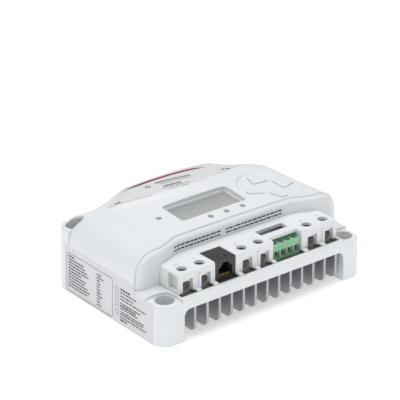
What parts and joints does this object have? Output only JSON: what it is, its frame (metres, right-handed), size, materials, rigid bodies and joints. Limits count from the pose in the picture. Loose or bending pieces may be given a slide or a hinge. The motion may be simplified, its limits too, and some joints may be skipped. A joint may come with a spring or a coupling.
{
  "type": "charge controller",
  "caption": "Wall mounted solar charge controller with a finned heatsink base, domed cover, display window, arrow keys and recessed wire terminals.",
  "frame": {"origin": "centre of the footprint, on the mounting face", "axes": "+Z away from the mounting wall, -Y towards the wire terminals, +X along the row of terminals"},
  "size_m": [0.153, 0.105, 0.0547],
  "materials": {
    "housing": "satin moulded light grey plastic",
    "shroud": "satin moulded light grey plastic",
    "keys": "satin moulded light grey plastic",
    "heatsink": "cast, fine matt",
    "thermal_pad": "soft, matt",
    "pcb": "solder mask, satin",
    "terminal_metal": "nickel plated",
    "screw_steel": "zinc plated",
    "jack_plastic": "black moulded plastic",
    "contact_gold": "gold plated",
    "signal_green": "moulded green plastic",
    "switch_body": "black moulded plastic",
    "switch_lever": "white moulded plastic",
    "lcd_glass": "polarised glass, grey green",
    "lcd_backlight": "white diffuser",
    "lcd_window": "clear moulded window",
    "light_pipe": "smoked clear plastic",
    "led": "small surface mount package",
    "header_black": "black moulded plastic",
    "header_pin": "gold plated pins in a black strip",
    "chip_black": "moulded epoxy",
    "cap_sleeve": "shrunk sleeve",
    "shunt": "resistance alloy",
    "face_label": "printed film",
    "rating_label": "printed film",
    "strip_label": "printed film"
  },
  "bodies": {
    "base": {"housing": "housing", "terminal_shroud": "shroud", "heatsink": "heatsink", "thermal_pad": "thermal_pad", "main_pcb": "pcb", "display_pcb": "pcb", "solar_terminals": "terminal_metal", "battery_terminals": "terminal_metal", "load_terminals": "terminal_metal", "phone_jack": "jack_plastic", "jack_contacts": "contact_gold", "signal_block": "signal_green", "mode_switch": "switch_body", "lcd_backlight": "lcd_backlight", "lcd_glass": "lcd_glass", "lcd_window": "lcd_window", "tact_switches": "switch_body", "light_pipes": "light_pipe", "status_leds": "led", "header_pins": "header_pin", "header_socket": "header_black", "mosfets": "chip_black", "capacitors": "cap_sleeve", "current_shunt": "shunt", "controller_chip": "chip_black", "surge_diodes": "chip_black", "display_screws": "screw_steel", "board_screws": "screw_steel", "case_screws": "screw_steel", "face_label": "face_label", "rating_label": "rating_label", "strip_label": "strip_label"},
    "key_up": {"key_up": "keys"},
    "key_down": {"key_down": "keys"},
    "key_left": {"key_left": "keys"},
    "key_right": {"key_right": "keys"},
    "clamp_pad_1": {"clamp_pad_1": "terminal_metal"},
    "terminal_screw_1": {"terminal_screw_1": "screw_steel"},
    "clamp_pad_2": {"clamp_pad_2": "terminal_metal"},
    "terminal_screw_2": {"terminal_screw_2": "screw_steel"},
    "clamp_pad_3": {"clamp_pad_3": "terminal_metal"},
    "terminal_screw_3": {"terminal_screw_3": "screw_steel"},
    "clamp_pad_4": {"clamp_pad_4": "terminal_metal"},
    "terminal_screw_4": {"terminal_screw_4": "screw_steel"},
    "clamp_pad_5": {"clamp_pad_5": "terminal_metal"},
    "terminal_screw_5": {"terminal_screw_5": "screw_steel"},
    "clamp_pad_6": {"clamp_pad_6": "terminal_metal"},
    "terminal_screw_6": {"terminal_screw_6": "screw_steel"},
    "signal_screw_1": {"signal_screw_1": "screw_steel"},
    "signal_cage_1": {"signal_cage_1": "terminal_metal"},
    "signal_screw_2": {"signal_screw_2": "screw_steel"},
    "signal_cage_2": {"signal_cage_2": "terminal_metal"},
    "signal_screw_3": {"signal_screw_3": "screw_steel"},
    "signal_cage_3": {"signal_cage_3": "terminal_metal"},
    "signal_screw_4": {"signal_screw_4": "screw_steel"},
    "signal_cage_4": {"signal_cage_4": "terminal_metal"},
    "dip_lever_1": {"dip_lever_1": "switch_lever"},
    "dip_lever_2": {"dip_lever_2": "switch_lever"},
    "dip_lever_3": {"dip_lever_3": "switch_lever"},
    "dip_lever_4": {"dip_lever_4": "switch_lever"}
  },
  "joints": [
    {"name": "key_up_press", "type": "slide", "parent": "base", "child": "key_up", "axis": [0, 0, -1], "range_m": [0, 0.0005], "stiffness_N_per_m": 1600},
    {"name": "key_down_press", "type": "slide", "parent": "base", "child": "key_down", "axis": [0, 0, -1], "range_m": [0, 0.0005], "stiffness_N_per_m": 1600},
    {"name": "key_left_press", "type": "slide", "parent": "base", "child": "key_left", "axis": [0, 0, -1], "range_m": [0, 0.0005], "stiffness_N_per_m": 1600},
    {"name": "key_right_press", "type": "slide", "parent": "base", "child": "key_right", "axis": [0, 0, -1], "range_m": [0, 0.0005], "stiffness_N_per_m": 1600},
    {"name": "clamp_1_travel", "type": "slide", "parent": "base", "child": "clamp_pad_1", "axis": [0, 0, -1], "range_m": [0, 0.003]},
    {"name": "terminal_screw_1_turn", "type": "hinge", "parent": "clamp_pad_1", "child": "terminal_screw_1", "pos_m": [-0.0528, -0.0403, 0.0346], "axis": [0, 0, -1], "range_deg": [0, 1350.5]},
    {"name": "clamp_2_travel", "type": "slide", "parent": "base", "child": "clamp_pad_2", "axis": [0, 0, -1], "range_m": [0, 0.003]},
    {"name": "terminal_screw_2_turn", "type": "hinge", "parent": "clamp_pad_2", "child": "terminal_screw_2", "pos_m": [-0.0402, -0.0403, 0.0346], "axis": [0, 0, -1], "range_deg": [0, 1350.5]},
    {"name": "clamp_3_travel", "type": "slide", "parent": "base", "child": "clamp_pad_3", "axis": [0, 0, -1], "range_m": [0, 0.003]},
    {"name": "terminal_screw_3_turn", "type": "hinge", "parent": "clamp_pad_3", "child": "terminal_screw_3", "pos_m": [-0.0095, -0.0403, 0.0346], "axis": [0, 0, -1], "range_deg": [0, 1350.5]},
    {"name": "clamp_4_travel", "type": "slide", "parent": "base", "child": "clamp_pad_4", "axis": [0, 0, -1], "range_m": [0, 0.003]},
    {"name": "terminal_screw_4_turn", "type": "hinge", "parent": "clamp_pad_4", "child": "terminal_screw_4", "pos_m": [0.0031, -0.0403, 0.0346], "axis": [0, 0, -1], "range_deg": [0, 1350.5]},
    {"name": "clamp_5_travel", "type": "slide", "parent": "base", "child": "clamp_pad_5", "axis": [0, 0, -1], "range_m": [0, 0.003]},
    {"name": "terminal_screw_5_turn", "type": "hinge", "parent": "clamp_pad_5", "child": "terminal_screw_5", "pos_m": [0.0402, -0.0403, 0.0346], "axis": [0, 0, -1], "range_deg": [0, 1350.5]},
    {"name": "clamp_6_travel", "type": "slide", "parent": "base", "child": "clamp_pad_6", "axis": [0, 0, -1], "range_m": [0, 0.003]},
    {"name": "terminal_screw_6_turn", "type": "hinge", "parent": "clamp_pad_6", "child": "terminal_screw_6", "pos_m": [0.0528, -0.0403, 0.0346], "axis": [0, 0, -1], "range_deg": [0, 1350.5]},
    {"name": "signal_screw_1_turn", "type": "hinge", "parent": "base", "child": "signal_screw_1", "pos_m": [0.01358, -0.042, 0.0334], "axis": [0, 0, -1], "range_deg": [0, 864.5]},
    {"name": "signal_cage_1_lift", "type": "slide", "parent": "base", "child": "signal_cage_1", "axis": [0, 0, 1], "range_m": [0, 0.0012]},
    {"name": "signal_screw_2_turn", "type": "hinge", "parent": "base", "child": "signal_screw_2", "pos_m": [0.01866, -0.042, 0.0334], "axis": [0, 0, -1], "range_deg": [0, 864.5]},
    {"name": "signal_cage_2_lift", "type": "slide", "parent": "base", "child": "signal_cage_2", "axis": [0, 0, 1], "range_m": [0, 0.0012]},
    {"name": "signal_screw_3_turn", "type": "hinge", "parent": "base", "child": "signal_screw_3", "pos_m": [0.02374, -0.042, 0.0334], "axis": [0, 0, -1], "range_deg": [0, 864.5]},
    {"name": "signal_cage_3_lift", "type": "slide", "parent": "base", "child": "signal_cage_3", "axis": [0, 0, 1], "range_m": [0, 0.0012]},
    {"name": "signal_screw_4_turn", "type": "hinge", "parent": "base", "child": "signal_screw_4", "pos_m": [0.02882, -0.042, 0.0334], "axis": [0, 0, -1], "range_deg": [0, 864.5]},
    {"name": "signal_cage_4_lift", "type": "slide", "parent": "base", "child": "signal_cage_4", "axis": [0, 0, 1], "range_m": [0, 0.0012]},
    {"name": "dip_lever_1_slide", "type": "slide", "parent": "base", "child": "dip_lever_1", "axis": [0, 1, 0], "range_m": [0, 0.0016]},
    {"name": "dip_lever_2_slide", "type": "slide", "parent": "base", "child": "dip_lever_2", "axis": [0, 1, 0], "range_m": [0, 0.0016]},
    {"name": "dip_lever_3_slide", "type": "slide", "parent": "base", "child": "dip_lever_3", "axis": [0, 1, 0], "range_m": [0, 0.0016]},
    {"name": "dip_lever_4_slide", "type": "slide", "parent": "base", "child": "dip_lever_4", "axis": [0, 1, 0], "range_m": [0, 0.0016]}
  ],
  "couplings": [
    {"joint": "terminal_screw_1_turn", "follows": "clamp_1_travel", "rad_per_m": 7854},
    {"joint": "terminal_screw_2_turn", "follows": "clamp_2_travel", "rad_per_m": 7854},
    {"joint": "terminal_screw_3_turn", "follows": "clamp_3_travel", "rad_per_m": 7854},
    {"joint": "terminal_screw_4_turn", "follows": "clamp_4_travel", "rad_per_m": 7854},
    {"joint": "terminal_screw_5_turn", "follows": "clamp_5_travel", "rad_per_m": 7854},
    {"joint": "terminal_screw_6_turn", "follows": "clamp_6_travel", "rad_per_m": 7854},
    {"joint": "signal_screw_1_turn", "follows": "signal_cage_1_lift", "rad_per_m": 12566},
    {"joint": "signal_screw_2_turn", "follows": "signal_cage_2_lift", "rad_per_m": 12566},
    {"joint": "signal_screw_3_turn", "follows": "signal_cage_3_lift", "rad_per_m": 12566},
    {"joint": "signal_screw_4_turn", "follows": "signal_cage_4_lift", "rad_per_m": 12566}
  ]
}
